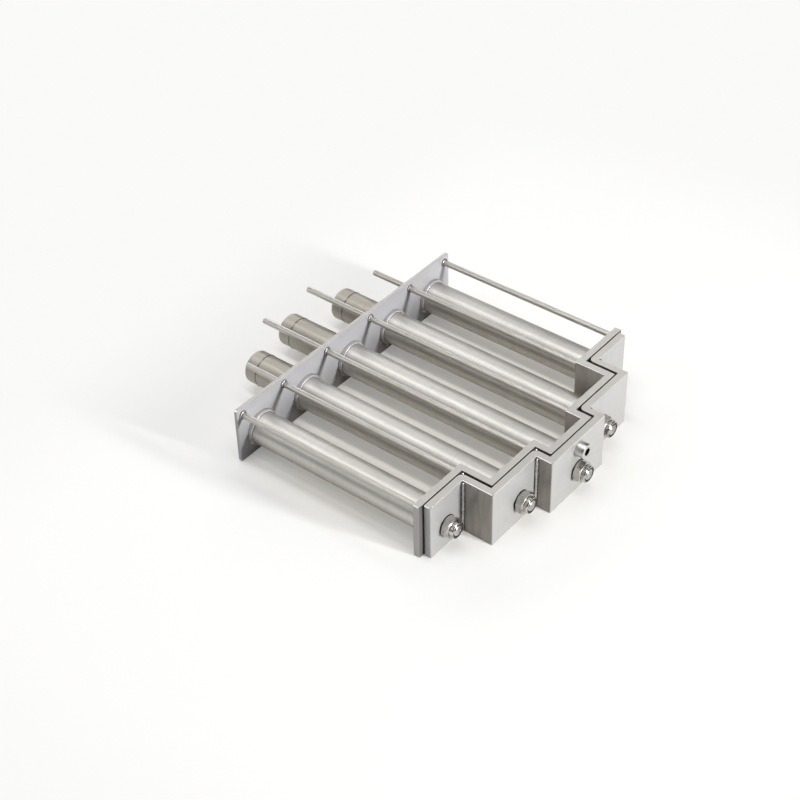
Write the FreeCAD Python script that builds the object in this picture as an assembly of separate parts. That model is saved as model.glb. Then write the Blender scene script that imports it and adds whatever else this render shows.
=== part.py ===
import FreeCAD, Part
import math
import os

# Hopper magnet: five magnet bars on a stepped carrier plate, which slides out of a
# stepped frame with a rear guide plate and six tie rods. Millimetres throughout.
# The layout below has X = 0 on the front face of the rear plate, X towards the
# stepped front, Y across the row of bars and Z up from the surface it stands on.

# Magnet bars
bar_pitch = 43.5
bar_diameter = 22.0
bar_floor_gap = 5.0
sleeve_wall = 1.0
tail_cap_length = 10.0
tail_cap_round = 2.4
head_plug_length = 4.0
spigot_length = 8.0
seam_chamfer = 0.25
magnet_length_nominal = 24.0
pole_piece_thickness = 4.0

# How far each bar reaches behind the rear plate's front face: centre, middle, side
bar_tail_reach = (54.5, 45.0, 9.0)

# Where each stepped plate's back face stands: centre, middle, side
frame_face_x = (170.0, 158.5, 136.5)

# Stepped plates
strip_height = 40.0
strip_thickness = 5.0
strip_edge_break = 0.25
plate_corner_round = 0.8
frame_side_margin = 19.0
carrier_side_margin = 15.5
seat_gap = 0.4
step_gap = 1.5
carrier_corner_round = 4.0
corner_bead_leg = 2.0

# Rear plate with its guide collars
rear_plate_rise = 1.0
rear_plate_overhang = 1.0
rear_plate_thickness = 2.5
rear_plate_corner = 2.0
rear_plate_edge_break = 0.3
collar_wall = 0.8
collar_projection = 2.5
collar_lip_round = 0.25

# Tie rods
rod_diameter = 4.0
rod_top_inset = 5.5
side_rod_inset = 4.0
inner_rod_shift = 0.25
middle_rod_shift = -1.25
rod_tail_reach = (54.5, 31.0, 2.5)
rod_tail_break = 0.4
rod_bead_leg = 1.2

# Fasteners
stud_diameter = 8.0
stud_end_round = 1.6
stud_past_nut = 0.3
nut_across_flats = 13.0
nut_hex_height = 5.1
nut_total_height = 7.9
nut_collar_diameter = 11.2
nut_collar_round = 0.8
nut_lip_wall = 0.7
nut_turns = (12.0, 35.0, 22.0, 8.0, 28.0)
insert_height = 1.9
insert_recess = 0.5
washer_diameter = 14.0
washer_thickness = 0.6
washer_edge_break = 0.15
screw_diameter = 6.0
screw_length = 12.0
screw_head_diameter = 10.0
screw_head_height = 6.0
screw_head_break = 0.5
screw_socket_flats = 5.0
screw_socket_depth = 3.0
screw_top_inset = 7.0

# Clearances, each measured on the radius
guide_clearance = 0.3
frame_bore_clearance = 0.5
collar_fit = 0.3
rod_hole_clearance = 0.15
bead_clearance = 0.05
spigot_clearance = 0.1
magnet_clearance = 0.2
stud_clearance = 0.2
thread_clearance = 0.1
screw_clearance = 0.3

# Places worked out from the sizes above
side_bar_y = 2 * bar_pitch
frame_half_width = side_bar_y + frame_side_margin
carrier_half_width = side_bar_y + carrier_side_margin
rear_plate_half_width = frame_half_width + rear_plate_overhang
rear_plate_height = strip_height + rear_plate_rise
rod_offset = (
    0.5 * bar_pitch + inner_rod_shift,
    1.5 * bar_pitch + middle_rod_shift,
    frame_half_width - side_rod_inset,
)
bar_radius = bar_diameter / 2
bar_axis_height = bar_floor_gap + bar_radius
rod_axis_height = rear_plate_height - rod_top_inset
screw_axis_height = strip_height - screw_top_inset
rod_radius = rod_diameter / 2
stud_radius = stud_diameter / 2
screw_radius = screw_diameter / 2
carrier_offset = strip_thickness + seat_gap
carrier_step_shift = -(step_gap + strip_thickness)
collar_radius = bar_radius + guide_clearance + collar_wall
nut_offset = carrier_offset + strip_thickness + washer_thickness
front_reach = frame_face_x[0] + nut_offset + nut_total_height + stud_past_nut
rear_reach = max(bar_tail_reach[0], rod_tail_reach[0])
middle_x = (front_reach - rear_reach) / 2

BAR_NUMBERS = (1, 2, 3, 4, 5)
ALONG_X = FreeCAD.Vector(1, 0, 0)
UPWARD = FreeCAD.Vector(0, 0, 1)


def rank(number):
    """0 for the centre bar, 1 for its neighbours, 2 for the side bars."""
    return abs(number - 3)


def bar_y(number):
    return (number - 3) * bar_pitch


def carrier_face_x(number):
    return frame_face_x[rank(number)] + carrier_offset


def nut_seat_x(number):
    return frame_face_x[rank(number)] + nut_offset


# Shapes that several pieces are made from

def block(x_range, y_range, z_range):
    low, high = zip(x_range, y_range, z_range)
    size = [b - a for a, b in zip(low, high)]
    return Part.makeBox(size[0], size[1], size[2], FreeCAD.Vector(*low))


def rod_along_x(radius, x_start, x_end, y, z):
    return Part.makeCylinder(radius, x_end - x_start, FreeCAD.Vector(x_start, y, z), ALONG_X)


def turned(profile, y, z):
    """Solid of revolution about the line along X at (y, z); profile is (x, radius) pairs."""
    points = [FreeCAD.Vector(x, y, z + radius) for x, radius in profile]
    outline = Part.makePolygon(points + points[:1])
    return Part.Face(outline).revolve(FreeCAD.Vector(0, y, z), ALONG_X, 360)


def edges_parallel_to(shape, direction):
    found = []
    for edge in shape.Edges:
        if edge.Curve.TypeId == "Part::GeomLine" and abs(edge.Curve.Direction.dot(direction)) > 0.999:
            found.append(edge)
    return found


def upright_edges_at(shape, places):
    """The upright edges that stand at one of the (x, y) places."""
    found = []
    for edge in edges_parallel_to(shape, UPWARD):
        foot = edge.Vertexes[0].Point
        if any(abs(foot.x - x) < 1e-6 and abs(foot.y - y) < 1e-6 for x, y in places):
            found.append(edge)
    return found


def level_edges(shape):
    """Every edge that lies in a level plane."""
    return [edge for edge in shape.Edges if edge.BoundBox.ZLength < 1e-6]


def round_edges_at(shape, x, radius):
    """The circular edges of that radius that lie at that x."""
    found = []
    for edge in shape.Edges:
        if edge.Curve.TypeId != "Part::GeomCircle":
            continue
        if abs(edge.Curve.Radius - radius) < 1e-6 and abs(edge.Curve.Center.x - x) < 1e-6:
            found.append(edge)
    return found


def hexagon_prism(across_flats, x_start, x_end, y, z, turn):
    corner = across_flats / math.sqrt(3)
    points = []
    for step in range(6):
        angle = math.radians(turn + 60 * step)
        points.append(FreeCAD.Vector(x_start, y + corner * math.cos(angle), z + corner * math.sin(angle)))
    face = Part.Face(Part.makePolygon(points + points[:1]))
    return face.extrude(ALONG_X * (x_end - x_start))


# Stepped plates: five strips across the bars, joined by four short strips along them

def step_lines(shift):
    """Y of the near side of the two near step strips, outermost first."""
    return (-1.5 * bar_pitch + shift, -0.5 * bar_pitch + shift)


def face_strip_span(number, half_width, shift):
    outer, inner = step_lines(shift)
    spans = {
        2: (-half_width, outer + strip_thickness),
        1: (outer, inner + strip_thickness),
        0: (inner, -inner),
    }
    low, high = spans[rank(number)]
    if number > 3:
        return (-high, -low)
    return (low, high)


def face_strip_block(number, x_offset, half_width, shift):
    x_back = frame_face_x[rank(number)] + x_offset
    span = face_strip_span(number, half_width, shift)
    return block((x_back, x_back + strip_thickness), span, (0, strip_height))


def step_strip_block(number, x_offset, shift):
    """Strips 1 and 2 are on the near side, 3 and 4 mirror them on the far side."""
    side = 1 if number < 3 else -1
    pair = (0, 1) if number in (1, 4) else (1, 2)
    line = step_lines(shift)[pair[0]]
    span = sorted((side * line, side * (line + strip_thickness)))
    x_start = frame_face_x[2 - pair[0]] + x_offset + strip_thickness
    x_end = frame_face_x[2 - pair[1]] + x_offset
    return block((x_start, x_end), span, (0, strip_height))


def outside_corners(x_offset, half_width, shift):
    """Places of the free ends and of the corners on the front of the steps."""
    x_side = frame_face_x[2] + x_offset
    places = []
    for side in (1, -1):
        for x in (x_side, x_side + strip_thickness):
            places.append((x, side * half_width))
        for index, line in enumerate(step_lines(shift)):
            places.append((frame_face_x[1 - index] + x_offset + strip_thickness, side * line))
    return places


def rear_corners(x_offset, shift):
    """Places of the corners on the back of the steps."""
    places = []
    for side in (1, -1):
        for index, line in enumerate(step_lines(shift)):
            places.append((frame_face_x[2 - index] + x_offset, side * (line + strip_thickness)))
    return places


def stepped_plate(x_offset, half_width, shift, rear_round):
    """One stepped plate with its corners rounded and its rims broken, before it is divided."""
    blocks = [face_strip_block(number, x_offset, half_width, shift) for number in BAR_NUMBERS]
    blocks += [step_strip_block(number, x_offset, shift) for number in range(1, 5)]
    plate = blocks[0].multiFuse(blocks[1:]).removeSplitter()
    corners = upright_edges_at(plate, outside_corners(x_offset, half_width, shift))
    plate = plate.makeFillet(plate_corner_round, corners)
    plate = plate.makeFillet(rear_round, upright_edges_at(plate, rear_corners(x_offset, shift)))
    return plate.makeChamfer(strip_edge_break, level_edges(plate))


def bored(strip, number, x_back, bore_radius):
    """The strip with the hole for its bar, and in the middle one the hole for the cap screw."""
    x_ends = (x_back - strip_thickness, x_back + 2 * strip_thickness)
    strip = strip.cut(rod_along_x(bore_radius, *x_ends, bar_y(number), bar_axis_height))
    if number == 3:
        strip = strip.cut(rod_along_x(screw_radius + screw_clearance, *x_ends, 0, screw_axis_height))
    return strip


def frame_strips():
    plate = stepped_plate(0, frame_half_width, 0, plate_corner_round)
    strips = {}
    for number in BAR_NUMBERS:
        strip = plate.common(face_strip_block(number, 0, frame_half_width, 0))
        x_back = frame_face_x[rank(number)]
        bore_radius = bar_radius + frame_bore_clearance
        strips["frame_face_strip_%d" % number] = bored(strip, number, x_back, bore_radius)
    for number in range(1, 5):
        strips["frame_step_strip_%d" % number] = plate.common(step_strip_block(number, 0, 0))
    return strips


def carrier_strips():
    place = (carrier_offset, carrier_half_width, carrier_step_shift)
    plate = stepped_plate(*place, carrier_corner_round)
    strips = {}
    for number in BAR_NUMBERS:
        strip = plate.common(face_strip_block(number, *place))
        bore_radius = stud_radius + stud_clearance
        strips["carrier_face_strip_%d" % number] = bored(strip, number, carrier_face_x(number), bore_radius)
    for number in range(1, 5):
        piece = plate.common(step_strip_block(number, carrier_offset, carrier_step_shift))
        strips["carrier_step_strip_%d" % number] = piece
    return strips


# Weld beads

def corner_bead(x, y, side):
    """Upright fillet in the corner between a face strip's front and a step strip."""
    leg = corner_bead_leg
    swell = 0.6 * leg
    foot = FreeCAD.Vector(x, y, strip_edge_break)
    on_face = foot + FreeCAD.Vector(0, -side * leg, 0)
    on_step = foot + FreeCAD.Vector(leg, 0, 0)
    crown = foot + FreeCAD.Vector(swell, -side * swell, 0)
    edges = [
        Part.LineSegment(foot, on_face).toShape(),
        Part.Arc(on_face, crown, on_step).toShape(),
        Part.LineSegment(on_step, foot).toShape(),
    ]
    return Part.Face(Part.Wire(edges)).extrude(UPWARD * (strip_height - 2 * strip_edge_break))


def corner_beads(x_offset, shift):
    beads = []
    for side in (1, -1):
        for index, line in enumerate(step_lines(shift)):
            x_front = frame_face_x[2 - index] + x_offset + strip_thickness
            beads.append(corner_bead(x_front, side * line, side))
    return beads


def rod_bead(x, y, direction):
    """Ring of weld round a tie rod where it meets a plate; direction points along the rod."""
    inner = rod_radius + bead_clearance
    profile = [
        (x, inner),
        (x, inner + rod_bead_leg),
        (x + direction * 0.45 * rod_bead_leg, inner + 0.6 * rod_bead_leg),
        (x + direction * rod_bead_leg, inner),
    ]
    return turned(profile, y, rod_axis_height)


# Frame

def rod_y(number):
    """Tie rods 1 to 6 from the near side to the far side."""
    place = (2, 1, 0, 0, 1, 2)[number - 1]
    return rod_offset[place] if number > 3 else -rod_offset[place]


def rod_place(number):
    return (2, 1, 0, 0, 1, 2)[number - 1]


def rod_head_x(number):
    """The centre pair ends on the middle strips, the others on the side strips."""
    return frame_face_x[1] if rod_place(number) == 0 else frame_face_x[2]


def tie_rod(number):
    x_tail = -rod_tail_reach[rod_place(number)]
    rod = rod_along_x(rod_radius, x_tail, rod_head_x(number), rod_y(number), rod_axis_height)
    return rod.makeChamfer(rod_tail_break, round_edges_at(rod, x_tail, rod_radius))


def rear_plate():
    half = rear_plate_half_width
    plate = block((-rear_plate_thickness, 0), (-half, half), (0, rear_plate_height))
    plate = plate.makeFillet(rear_plate_corner, edges_parallel_to(plate, ALONG_X))
    rim = []
    for edge in plate.Edges:
        ends = [vertex.Point.x for vertex in edge.Vertexes]
        if abs(ends[0] - ends[-1]) < 1e-6:
            rim.append(edge)
    plate = plate.makeChamfer(rear_plate_edge_break, rim)
    x_ends = (-2 * rear_plate_thickness, rear_plate_thickness)
    for number in BAR_NUMBERS:
        plate = plate.cut(rod_along_x(collar_radius + collar_fit, *x_ends, bar_y(number), bar_axis_height))
    hole_radius = rod_radius + rod_hole_clearance
    for number in range(1, 7):
        plate = plate.cut(rod_along_x(hole_radius, *x_ends, rod_y(number), rod_axis_height))
    return plate


def guide_collar(number):
    """Ring through the rear plate that guides and wipes one bar."""
    y = bar_y(number)
    ring = rod_along_x(collar_radius, -rear_plate_thickness, collar_projection, y, bar_axis_height)
    ring = ring.makeFillet(collar_lip_round, round_edges_at(ring, collar_projection, collar_radius))
    bore = rod_along_x(bar_radius + guide_clearance, -2 * rear_plate_thickness, 2 * collar_projection,
                       y, bar_axis_height)
    return ring.cut(bore)


def frame_weld_beads():
    beads = corner_beads(0, 0)
    for number in range(1, 7):
        beads.append(rod_bead(0, rod_y(number), 1))
        beads.append(rod_bead(rod_head_x(number), rod_y(number), -1))
    return Part.makeCompound(beads)


# Magnet bars

def sleeve_span(number):
    return (-bar_tail_reach[rank(number)] + tail_cap_length, carrier_face_x(number) - head_plug_length)


def bar_sleeve(number):
    x_start, x_end = sleeve_span(number)
    inner = bar_radius - sleeve_wall
    cut_back = bar_radius - seam_chamfer
    profile = [
        (x_start, inner), (x_start, cut_back), (x_start + seam_chamfer, bar_radius),
        (x_end - seam_chamfer, bar_radius), (x_end, cut_back), (x_end, inner),
    ]
    return turned(profile, bar_y(number), bar_axis_height)


def bar_tail_cap(number):
    """Closed rear end: a rounded cap with a spigot inside the sleeve."""
    y = bar_y(number)
    x_tail = -bar_tail_reach[rank(number)]
    x_seam = x_tail + tail_cap_length
    cap = rod_along_x(bar_radius, x_tail, x_seam, y, bar_axis_height)
    cap = cap.makeFillet(tail_cap_round, round_edges_at(cap, x_tail, bar_radius))
    cap = cap.makeChamfer(seam_chamfer, round_edges_at(cap, x_seam, bar_radius))
    spigot_radius = bar_radius - sleeve_wall - spigot_clearance
    return cap.fuse(rod_along_x(spigot_radius, x_seam, x_seam + spigot_length, y, bar_axis_height))


def bar_head_plug(number):
    """Front end: a plug that shoulders on the carrier, with the threaded stud."""
    y = bar_y(number)
    x_face = carrier_face_x(number)
    x_seam = x_face - head_plug_length
    plug = rod_along_x(bar_radius, x_seam, x_face, y, bar_axis_height)
    plug = plug.makeChamfer(seam_chamfer, round_edges_at(plug, x_seam, bar_radius))
    spigot_radius = bar_radius - sleeve_wall - spigot_clearance
    plug = plug.fuse(rod_along_x(spigot_radius, x_seam - spigot_length, x_seam, y, bar_axis_height))
    x_tip = nut_seat_x(number) + nut_total_height + stud_past_nut
    stud = rod_along_x(stud_radius, x_face, x_tip, y, bar_axis_height)
    stud = stud.makeFillet(stud_end_round, round_edges_at(stud, x_tip, stud_radius))
    return plug.fuse(stud)


def stack_layout(number):
    """Start of the stack, number of magnets and the length of each."""
    x_start, x_end = sleeve_span(number)
    x_start += spigot_length
    length = x_end - spigot_length - x_start
    count = max(2, round(length / (magnet_length_nominal + pole_piece_thickness)))
    magnet_length = (length - (count - 1) * pole_piece_thickness) / count
    return x_start, count, magnet_length


def magnet_stack(number):
    x_start, count, magnet_length = stack_layout(number)
    radius = bar_radius - sleeve_wall - magnet_clearance
    magnets = []
    for index in range(count):
        x = x_start + index * (magnet_length + pole_piece_thickness)
        magnets.append(rod_along_x(radius, x, x + magnet_length, bar_y(number), bar_axis_height))
    return magnets


def pole_pieces(number):
    x_start, count, magnet_length = stack_layout(number)
    radius = bar_radius - sleeve_wall - magnet_clearance
    poles = []
    for index in range(1, count):
        x = x_start + index * (magnet_length + pole_piece_thickness)
        poles.append(rod_along_x(radius, x - pole_piece_thickness, x, bar_y(number), bar_axis_height))
    return poles


# Fasteners

def nyloc_nut(number):
    """Hexagon with chamfered ends and a round collar that holds the nylon insert."""
    x = nut_seat_x(number)
    y = bar_y(number)
    flats = nut_across_flats
    corner = flats / math.sqrt(3)
    chamfer = (corner - flats / 2) * 0.75
    prism = hexagon_prism(flats, x, x + nut_hex_height, y, bar_axis_height, nut_turns[number - 1])
    envelope = turned([
        (x, 0), (x, flats / 2 - 0.1), (x + chamfer, corner), (x + nut_hex_height - chamfer, corner),
        (x + nut_hex_height, flats / 2 - 0.3), (x + nut_hex_height, 0),
    ], y, bar_axis_height)
    body = prism.common(envelope)
    x_top = x + nut_total_height
    collar_radius_outer = nut_collar_diameter / 2
    collar = rod_along_x(collar_radius_outer, x + nut_hex_height, x_top, y, bar_axis_height)
    collar = collar.makeFillet(nut_collar_round, round_edges_at(collar, x_top, collar_radius_outer))
    body = body.fuse(collar)
    bore = rod_along_x(stud_radius + thread_clearance, x - 1, x_top + 1, y, bar_axis_height)
    pocket_radius = collar_radius_outer - nut_lip_wall
    pocket = rod_along_x(pocket_radius, x_top - insert_recess - insert_height, x_top + 1, y, bar_axis_height)
    return body.cut(bore).cut(pocket)


def nylon_insert(number):
    x_top = nut_seat_x(number) + nut_total_height - insert_recess
    outer = nut_collar_diameter / 2 - nut_lip_wall - bead_clearance
    inner = stud_radius + bead_clearance
    profile = [
        (x_top - insert_height, inner), (x_top - insert_height, outer), (x_top, outer), (x_top, inner),
    ]
    return turned(profile, bar_y(number), bar_axis_height)


def sealing_washer(number):
    """Thin soft washer between the carrier and the nut."""
    x_end = nut_seat_x(number)
    x_start = x_end - washer_thickness
    outer = washer_diameter / 2
    inner = stud_radius + stud_clearance
    profile = [
        (x_start, inner), (x_start, outer), (x_end - washer_edge_break, outer),
        (x_end, outer - washer_edge_break), (x_end, inner),
    ]
    return turned(profile, bar_y(number), bar_axis_height)


def cap_screw():
    """Socket head cap screw that locks the carrier to the frame."""
    x_seat = carrier_face_x(3) + strip_thickness
    x_top = x_seat + screw_head_height
    head_radius = screw_head_diameter / 2
    head = rod_along_x(head_radius, x_seat, x_top, 0, screw_axis_height)
    head = head.makeChamfer(screw_head_break, round_edges_at(head, x_top, head_radius))
    socket = hexagon_prism(screw_socket_flats, x_top - screw_socket_depth, x_top + 1, 0, screw_axis_height, 0)
    shank = rod_along_x(screw_radius, x_seat - screw_length, x_seat, 0, screw_axis_height)
    shank = shank.makeChamfer(screw_head_break, round_edges_at(shank, x_seat - screw_length, screw_radius))
    return head.cut(socket).fuse(shank)


def build_pieces():
    magnets = []
    poles = []
    for number in BAR_NUMBERS:
        magnets += magnet_stack(number)
        poles += pole_pieces(number)
    pieces = {
        "rear_plate": rear_plate(),
        "frame_weld_beads": frame_weld_beads(),
        "carrier_weld_beads": Part.makeCompound(corner_beads(carrier_offset, carrier_step_shift)),
        "bar_magnets": Part.makeCompound(magnets),
        "bar_pole_pieces": Part.makeCompound(poles),
        "sealing_washers": Part.makeCompound([sealing_washer(number) for number in BAR_NUMBERS]),
        "nyloc_nuts": Part.makeCompound([nyloc_nut(number) for number in BAR_NUMBERS]),
        "nylon_inserts": Part.makeCompound([nylon_insert(number) for number in BAR_NUMBERS]),
        "cap_screw": cap_screw(),
    }
    pieces.update(frame_strips())
    pieces.update(carrier_strips())
    for number in BAR_NUMBERS:
        pieces["guide_collar_%d" % number] = guide_collar(number)
        pieces["bar_%d_sleeve" % number] = bar_sleeve(number)
        pieces["bar_%d_tail_cap" % number] = bar_tail_cap(number)
        pieces["bar_%d_head_plug" % number] = bar_head_plug(number)
    for number in range(1, 7):
        pieces["tie_rod_%d" % number] = tie_rod(number)
    return pieces


# The stored frame has its origin under the middle of the whole object
os.makedirs("parts", exist_ok=True)
for name, shape in sorted(build_pieces().items()):
    placed = shape.copy()
    placed.translate(FreeCAD.Vector(-middle_x, 0, 0))
    placed.exportStep("parts/%s.step" % name)
print("origin is %.3f mm in front of the rear plate" % middle_x)
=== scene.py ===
"""Dresses the hopper magnet: steel finishes, weld beads, the lock screw and the studio stage."""

import math

import bpy
from bpy.props import (
    CollectionProperty,
    FloatProperty,
    FloatVectorProperty,
    IntProperty,
    PointerProperty,
)
from mathutils import Matrix, Quaternion, Vector


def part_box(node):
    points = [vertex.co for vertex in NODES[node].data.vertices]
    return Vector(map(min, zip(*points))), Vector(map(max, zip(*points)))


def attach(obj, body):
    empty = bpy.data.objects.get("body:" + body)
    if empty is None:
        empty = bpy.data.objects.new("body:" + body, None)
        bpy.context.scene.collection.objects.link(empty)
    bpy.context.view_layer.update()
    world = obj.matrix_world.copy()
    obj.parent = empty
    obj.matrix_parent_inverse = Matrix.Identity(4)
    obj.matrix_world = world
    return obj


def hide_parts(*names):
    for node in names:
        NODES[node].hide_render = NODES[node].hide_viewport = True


bl_info = {
    "name": "Hopper Magnet",
    "version": (1, 0, 0),
    "blender": (4, 5, 0),
    "location": "View3D > Sidebar > Hopper Magnet",
    "description": "Finishes, weld beads and stage for a pull-out hopper magnet",
    "category": "Object",
}

MM = 0.001
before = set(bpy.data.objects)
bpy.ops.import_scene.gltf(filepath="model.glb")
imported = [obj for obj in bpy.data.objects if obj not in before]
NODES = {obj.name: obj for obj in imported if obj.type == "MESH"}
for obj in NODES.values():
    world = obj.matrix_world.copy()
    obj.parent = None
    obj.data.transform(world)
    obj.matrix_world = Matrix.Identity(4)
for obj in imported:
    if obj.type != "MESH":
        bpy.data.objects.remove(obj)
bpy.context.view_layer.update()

BARS = (1, 2, 3, 4, 5)
STEPS = (1, 2, 3, 4)
RODS = (1, 2, 3, 4, 5, 6)


# Settings a user would change

def colour_setting(label, description, default):
    return FloatVectorProperty(
        name=label, description=description, default=default, size=3, min=0.0, max=1.0, subtype="COLOR"
    )


def length_setting(label, description, default):
    return FloatProperty(name=label, description=description, default=default, min=0.0, unit="LENGTH")


def roughness_setting(default):
    return FloatProperty(
        name="Roughness", description="How widely the finish scatters light",
        default=default, min=0.0, max=1.0, subtype="FACTOR",
    )


def power_setting(label, description, default):
    return FloatProperty(name=label, description=description, default=default, min=0.0, unit="POWER")


class PlateFinish(bpy.types.PropertyGroup):
    """Colours and roughness of the rear plate and the two stepped assemblies."""

    rear_colour: colour_setting("Rear plate", "Blasted sheet of the rear plate", (0.34, 0.337, 0.351))
    frame_colour: colour_setting("Frame", "Rolled flat bar of the frame", (0.37, 0.36, 0.347))
    carrier_colour: colour_setting("Carrier", "Satin flat bar of the carrier", (0.365, 0.361, 0.355))
    rim_colour: colour_setting("Rims", "Rolled rims of the flat bars", (0.535, 0.515, 0.487))
    rear_rim_colour: colour_setting("Rear rim", "Sheared rim of the rear plate", (0.46, 0.445, 0.42))
    step_colour: colour_setting("Steps", "Mill finish of the carrier's step strips", (0.345, 0.32, 0.294))
    inner_step_colour: colour_setting(
        "Inner steps", "Mill finish of the frame's step strips", (0.46, 0.43, 0.40)
    )
    roughness: roughness_setting(0.42)


class BarFinish(bpy.types.PropertyGroup):
    """Colours of the magnet bars' parts and the tie rods, and the roughness of the bars."""

    bar_colour: colour_setting("Bars", "Satin tube of the magnet bars", (0.63, 0.615, 0.586))
    rod_colour: colour_setting("Rods", "Drawn tie rod", (0.52, 0.50, 0.465))
    magnet_colour: colour_setting("Magnets", "Plated magnet", (0.42, 0.42, 0.44))
    pole_colour: colour_setting("Pole pieces", "Turned mild steel", (0.50, 0.49, 0.47))
    roughness: roughness_setting(0.50)


class FastenerFinish(bpy.types.PropertyGroup):
    """Colours of the nuts, the inserts, the washers and the lock screw, and the roughness of the nuts."""

    nut_colour: colour_setting("Nuts", "Bright pressed nut", (0.62, 0.60, 0.57))
    insert_colour: colour_setting("Inserts", "Dark nylon ring", (0.012, 0.011, 0.014))
    # The washers are drawn near black, a dark ring under each nut
    washer_near_black_colour: colour_setting("Washers", "Black rubber washer", (0.012, 0.012, 0.013))
    screw_colour: colour_setting("Lock screw", "Bright cap screw", (0.60, 0.58, 0.56))
    roughness: roughness_setting(0.2)


class WeldSettings(bpy.types.PropertyGroup):
    """Sizes and colour of the weld beads."""

    colour: colour_setting("Weld metal", "Ripples of the beads", (0.50, 0.49, 0.475))
    ripple_pitch: length_setting("Ripple pitch", "Distance from one ripple to the next", 1.15 * MM)
    ripple_radius: length_setting("Ripple radius", "Radius of one ripple across the corner", 1.6 * MM)
    ring_radius: length_setting("Ring radius", "Distance of the ring's ripples from its axis", 2.2 * MM)
    ring_ripples: IntProperty(name="Ring ripples", description="Ripples round one rod", default=12, min=3)
    seam_width: length_setting("Seam width", "Width of the seam round a bar's rear cap", 1.0 * MM)


class ScrewSettings(bpy.types.PropertyGroup):
    """Sizes of the lock screw's socket and thread."""

    socket_flats: length_setting("Socket", "Across the flats of the hexagon socket", 5.0 * MM)
    socket_depth: length_setting("Socket depth", "Depth of the hexagon socket", 3.0 * MM)
    head_height: length_setting("Head height", "Height of the cylindrical head", 6.0 * MM)
    head_break: length_setting("Head edge", "Width of the chamfer on the head", 0.45 * MM)
    thread_pitch: length_setting("Thread pitch", "Advance of the thread in one turn", 1.0 * MM)
    thread_depth: length_setting("Thread depth", "Height of the thread's ridge", 0.55 * MM)


class LampSetting(bpy.types.PropertyGroup):
    """One soft lamp of the studio."""

    place: FloatVectorProperty(
        name="Place", description="Centre of the lamp", size=3, subtype="TRANSLATION"
    )
    aim: FloatVectorProperty(name="Aim", description="Point the lamp faces", size=3, subtype="TRANSLATION")
    size: FloatVectorProperty(
        name="Size", description="Width and height of the lamp", size=2, unit="LENGTH"
    )
    roll: FloatProperty(
        name="Roll", description="Turn of the lamp about its own beam", default=0.0, subtype="ANGLE"
    )
    power: power_setting("Power", "Radiant power of the lamp", 10.0)
    colour: colour_setting("Colour", "Colour of the lamp's light", (1.0, 1.0, 1.0))


class StageSettings(bpy.types.PropertyGroup):
    """Floor, lamps, surroundings and camera."""

    floor_colour: colour_setting("Floor", "Paper round the object", (0.83, 0.826, 0.808))
    # Painted light: warm paper under the object stands in for light bounced off the warm metal
    painted_bounce_colour: colour_setting("Floor underneath", "Paper under the object", (0.865, 0.825, 0.755))
    painted_bounce_radius: length_setting("Under radius", "Radius of the paper under the object", 90.0 * MM)
    painted_bounce_edge_radius: length_setting("Round radius", "Radius where the paper round it starts", 130.0 * MM)
    # Painted light: a glow that only the camera sees lifts the paper's shadows by this share
    painted_shadow_lift: FloatProperty(
        name="Shadow lift", description="Share of even light in the paper's shadows",
        default=0.25, min=0.0, max=1.0, subtype="FACTOR",
    )
    backdrop_colour: colour_setting(
        "Backdrop", "Evenly lit paper far from the object", (0.955, 0.953, 0.942)
    )
    shade_radius: length_setting("Shade radius", "Radius in which shadows show in full", 240.0 * MM)
    even_radius: length_setting("Even radius", "Radius past which the paper is evenly lit", 420.0 * MM)
    shadow_reach: length_setting("Shadow reach", "Distance behind the plate where it starts", 10.0 * MM)
    shadow_fade: length_setting("Shadow fade", "Distance in which a shadow fades out", 160.0 * MM)
    floor_size: length_setting("Floor size", "Width of the paper", 6.0)
    world_colour: colour_setting("Surroundings", "Colour of the light from all round", (0.98, 0.99, 1.0))
    world_strength: FloatProperty(
        name="Strength", description="Strength of the light from all round", default=0.015, min=0.0
    )
    camera_place: FloatVectorProperty(
        name="Camera", description="Where the camera stands", default=(0.5247, -0.6651, 0.71497),
        size=3, subtype="TRANSLATION",
    )
    camera_turn: FloatVectorProperty(
        name="Camera turn", description="Azimuth, elevation and roll",
        default=tuple(math.radians(angle) for angle in (39.604, 39.595, -1.499)),
        size=3, subtype="EULER",
    )
    lens: FloatProperty(name="Lens", description="Focal length in millimetres", default=77.21, min=1.0)
    lamps: CollectionProperty(type=LampSetting)


# name, place, aim, size, roll in degrees, power
LAMPS = (
    ("overhead_strip", (0.0, -0.15, 1.4), (0.0, -0.09, 0.0), (1.4, 0.25), 0.0, 8.5),
    ("overhead_left_strip", (0.0, -0.65, 1.4), (0.0, -0.39, 0.0), (1.4, 0.25), 0.0, 3.1),
    ("overhead_right_strip", (0.0, 0.60, 1.4), (0.0, 0.36, 0.0), (1.4, 0.25), 0.0, 2.7),
    ("key_strip", (1.65, 0.18, 0.32), (0.0, 0.0, 0.0), (0.10, 0.45), -29.0, 50.0),
    ("right_panel", (1.5, 1.3, 0.55), (0.0, 0.0, 0.1), (1.6, 1.0), 0.0, 2.7),
    ("back_panel", (-1.4, 0.2, 0.8), (0.0, 0.0, 0.0), (1.2, 0.8), 0.0, 7.8),
    ("back_right_panel", (-1.0, 1.2, 0.8), (0.0, 0.0, 0.0), (1.2, 0.8), 0.0, 8.0),
    ("left_panel", (-0.9, -1.2, 0.9), (0.0, 0.0, 0.0), (1.2, 0.9), 0.0, 6.0),
)


# Small helpers for meshes

def deselect_all():
    if bpy.context.mode != "OBJECT":
        bpy.ops.object.mode_set(mode="OBJECT")
    bpy.ops.object.select_all(action="DESELECT")


def take(piece):
    """Makes the piece the only selected object."""
    deselect_all()
    piece.select_set(True)
    bpy.context.view_layer.objects.active = piece


def named(name):
    """Names the piece just added and gives its place to its mesh."""
    piece = bpy.context.active_object
    piece.name = name
    piece.data.name = name
    bpy.ops.object.transform_apply(location=True, rotation=True, scale=True)
    return piece


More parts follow.
